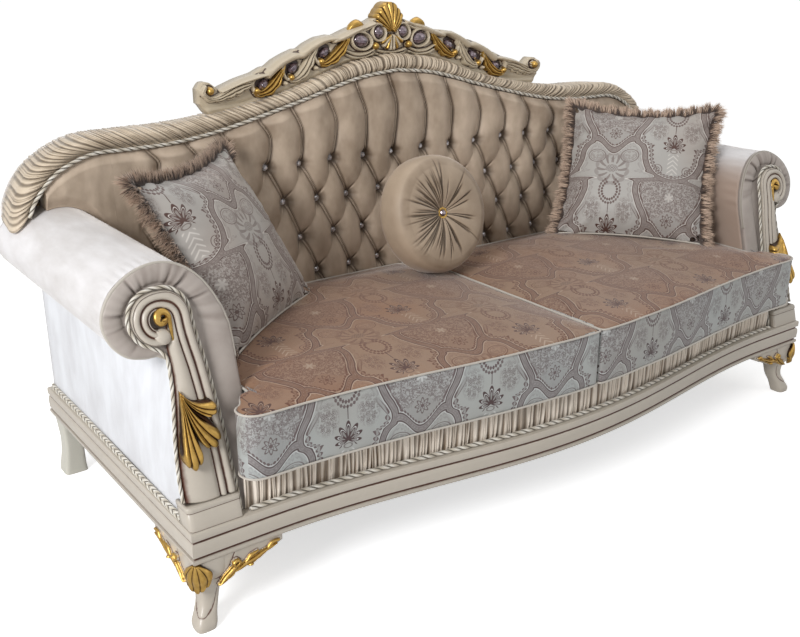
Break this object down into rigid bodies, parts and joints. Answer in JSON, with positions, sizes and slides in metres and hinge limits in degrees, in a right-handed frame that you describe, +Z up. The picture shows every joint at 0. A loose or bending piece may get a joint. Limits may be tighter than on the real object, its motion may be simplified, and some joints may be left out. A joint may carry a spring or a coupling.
{
  "type": "baroque sofa",
  "caption": "Baroque sofa with carved crest rail, deep-buttoned back, rolled arms with scroll facings, serpentine front and loose cushions.",
  "frame": {"origin": "centre of the sofa's footprint on the floor", "axes": "+X to the sitter's left hand side seen from the front (viewer's right), -Y is the front, +Z up"},
  "size_m": [2.3272, 1.0347, 1.2431],
  "materials": {
    "cream_wood": "cream lacquer with brown rubbed into the grooves",
    "gilded_wood": "antique gold leaf on carved wood",
    "crystal": "cut crystal with a dark foil back",
    "beech": "planed, unfinished",
    "spring_steel": "drawn spring wire",
    "lining_cloth": "black underside lining",
    "velvet": "champagne velvet",
    "pale_velvet": "pale champagne velvet",
    "damask": "woven damask, satin ground",
    "twisted_cord": "twisted cream and gold thread"
  },
  "bodies": {
    "frame": {"front_rail": "cream_wood", "left_side_rail": "cream_wood", "right_side_rail": "cream_wood", "front_leg_left": "cream_wood", "front_leg_right": "cream_wood", "back_leg_left": "cream_wood", "back_leg_right": "cream_wood", "crest_rail": "cream_wood", "arm_scroll_left": "cream_wood", "arm_scroll_right": "cream_wood", "crest_shell": "gilded_wood", "scroll_boss_left": "gilded_wood", "scroll_boss_right": "gilded_wood", "acanthus_leaf_left": "gilded_wood", "acanthus_leaf_right": "gilded_wood", "crest_gem_round_left": "crystal", "crest_gem_round_right": "crystal", "crest_gem_oval_left": "crystal", "crest_gem_oval_right": "crystal", "crest_gem_drop_1_left": "crystal", "crest_gem_drop_1_right": "crystal", "crest_gem_drop_2_left": "crystal", "crest_gem_drop_2_right": "crystal", "crest_gem_drop_3_left": "crystal", "crest_gem_drop_3_right": "crystal", "back_rail": "beech", "centre_stretcher": "beech", "corner_block_front_left": "beech", "corner_block_front_right": "beech", "corner_block_back_left": "beech", "corner_block_back_right": "beech", "seat_deck": "beech", "back_board": "beech", "back_post_left": "beech", "back_post_right": "beech", "arm_frame_left": "beech", "arm_frame_right": "beech", "seat_spring_1": "spring_steel", "seat_spring_2": "spring_steel", "seat_spring_3": "spring_steel", "dust_cover": "lining_cloth", "tufted_back": "velvet", "ruched_border": "velvet", "apron": "velvet", "arm_roll_left": "pale_velvet", "arm_roll_right": "pale_velvet", "arm_pad_left": "pale_velvet", "arm_pad_right": "pale_velvet", "outside_back": "pale_velvet", "border_cord": "twisted_cord", "apron_cord": "twisted_cord", "arm_cord_left": "twisted_cord", "arm_cord_right": "twisted_cord", "side_cord_left": "twisted_cord", "side_cord_right": "twisted_cord"},
    "seat_left": {"seat_cushion_left": "damask"},
    "seat_right": {"seat_cushion_right": "damask"},
    "left_pillow": {"pillow_left": "damask"},
    "right_pillow": {"pillow_right": "damask"},
    "middle_pillow": {"round_pillow": "velvet"}
  },
  "joints": [
    {"name": "seat_left_out", "type": "slide", "parent": "frame", "child": "seat_left", "axis": [0, -1, 0], "range_m": [0, 0.8]},
    {"name": "seat_right_out", "type": "slide", "parent": "frame", "child": "seat_right", "axis": [0, -1, 0], "range_m": [0, 0.8]},
    {"name": "left_pillow_lift", "type": "slide", "parent": "seat_left", "child": "left_pillow", "axis": [0, 0, 1], "range_m": [0, 0.5]},
    {"name": "middle_pillow_lift", "type": "slide", "parent": "seat_left", "child": "middle_pillow", "axis": [0, 0, 1], "range_m": [0, 0.5]},
    {"name": "right_pillow_lift", "type": "slide", "parent": "seat_right", "child": "right_pillow", "axis": [0, 0, 1], "range_m": [0, 0.5]}
  ]
}
